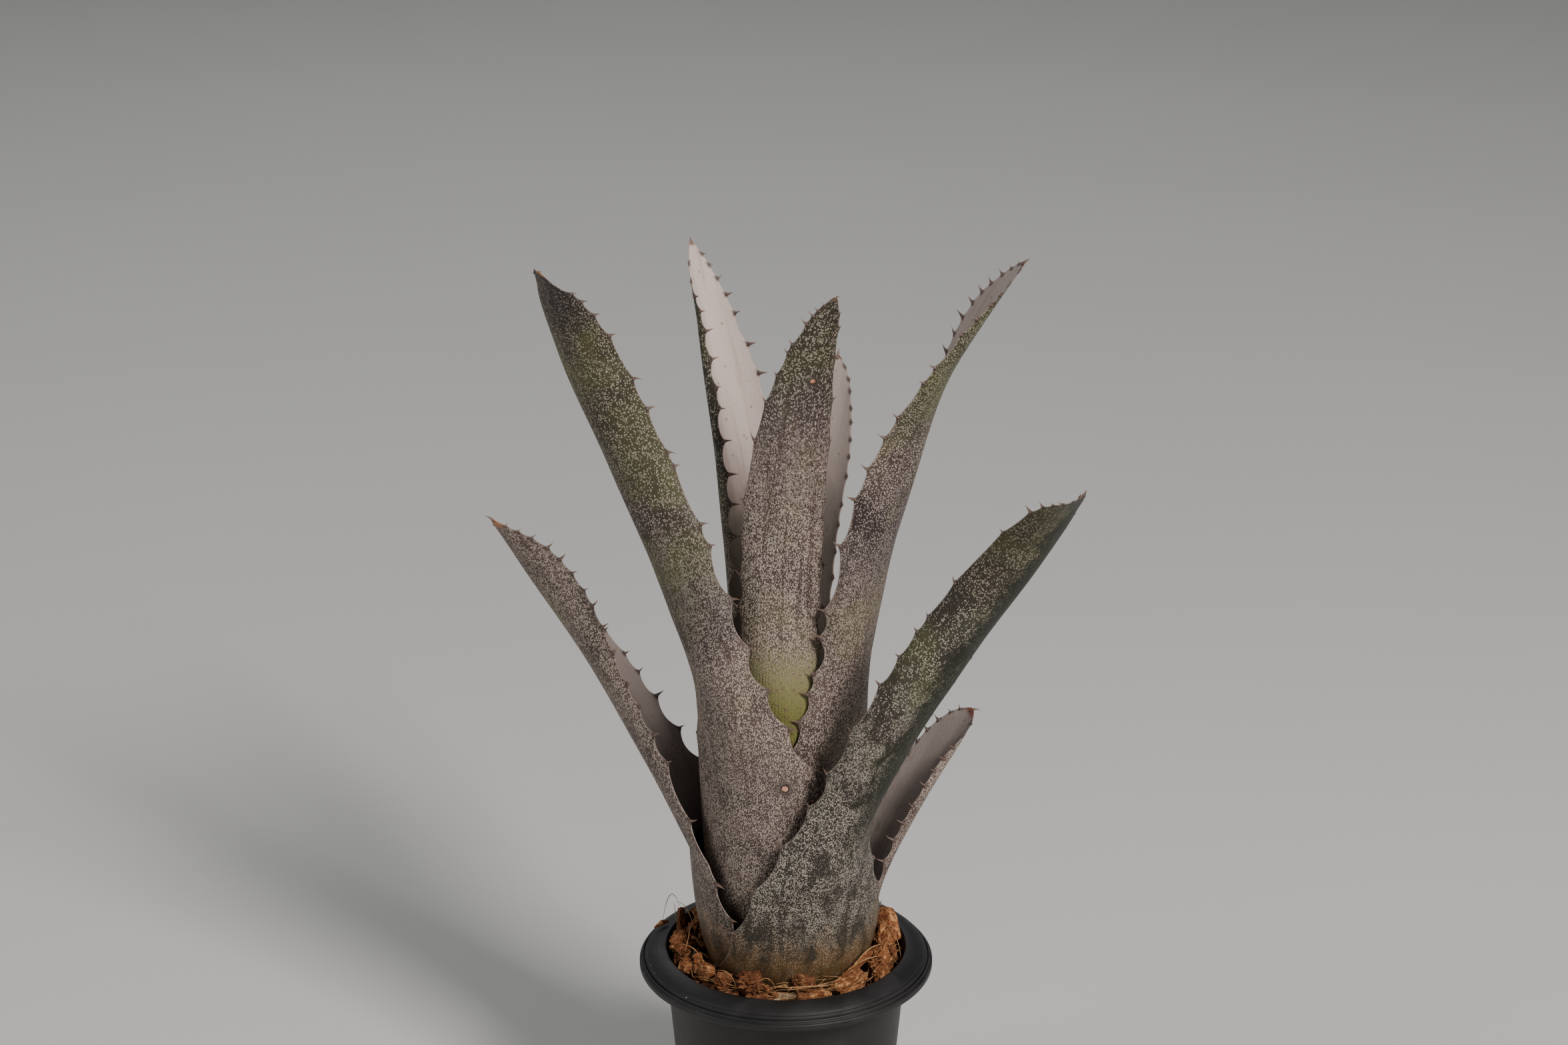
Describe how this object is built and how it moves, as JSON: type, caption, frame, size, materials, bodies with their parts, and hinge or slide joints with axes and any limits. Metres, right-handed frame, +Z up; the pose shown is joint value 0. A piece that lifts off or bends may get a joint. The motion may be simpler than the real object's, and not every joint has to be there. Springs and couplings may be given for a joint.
{
  "type": "potted bromeliad",
  "caption": "Upright tank bromeliad with stiff channelled grey leaves round a short stem, in a bed of coir husk chips, in a round black nursery pot.",
  "frame": {"origin": "centre of the pot's flat base, on the surface it stands on", "axes": "+Z up along the pot's axis, -Y towards the plant's front"},
  "size_m": [0.2259, 0.2034, 0.4153],
  "materials": {
    "leaf": "matt scurfy grey bloom over dark green and purple",
    "stem": "matt fibrous",
    "coir": "matt crumbly",
    "husk": "matt fibrous",
    "pumice": "matt porous",
    "pale_bark": "matt",
    "pot_plastic": "satin moulded"
  },
  "bodies": {
    "root": {"coir_bed": "coir", "husk_chip_01": "husk", "husk_chip_02": "husk", "husk_chip_03": "husk", "husk_chip_04": "husk", "husk_chip_05": "husk", "husk_chip_06": "husk", "husk_chip_07": "husk", "husk_chip_08": "husk", "husk_chip_09": "husk", "husk_chip_10": "husk", "husk_chip_11": "husk", "husk_chip_12": "husk", "husk_chip_13": "husk", "husk_chip_14": "husk", "husk_chip_15": "husk", "husk_chip_16": "husk", "husk_chip_17": "husk", "husk_chip_18": "husk", "husk_chip_19": "husk", "husk_chip_20": "husk", "husk_chip_21": "husk", "husk_chip_22": "husk", "husk_chip_23": "husk", "leaf_back": "leaf", "leaf_back_left": "leaf", "leaf_centre": "leaf", "leaf_front_right": "leaf", "leaf_heart": "leaf", "leaf_low_left": "leaf", "leaf_low_right": "leaf", "leaf_tall_left": "leaf", "leaf_tall_right": "leaf", "pale_flake": "pale_bark", "pot": "pot_plastic", "pumice_grain_01": "pumice", "pumice_grain_02": "pumice", "stem": "stem"}
  },
  "joints": []
}
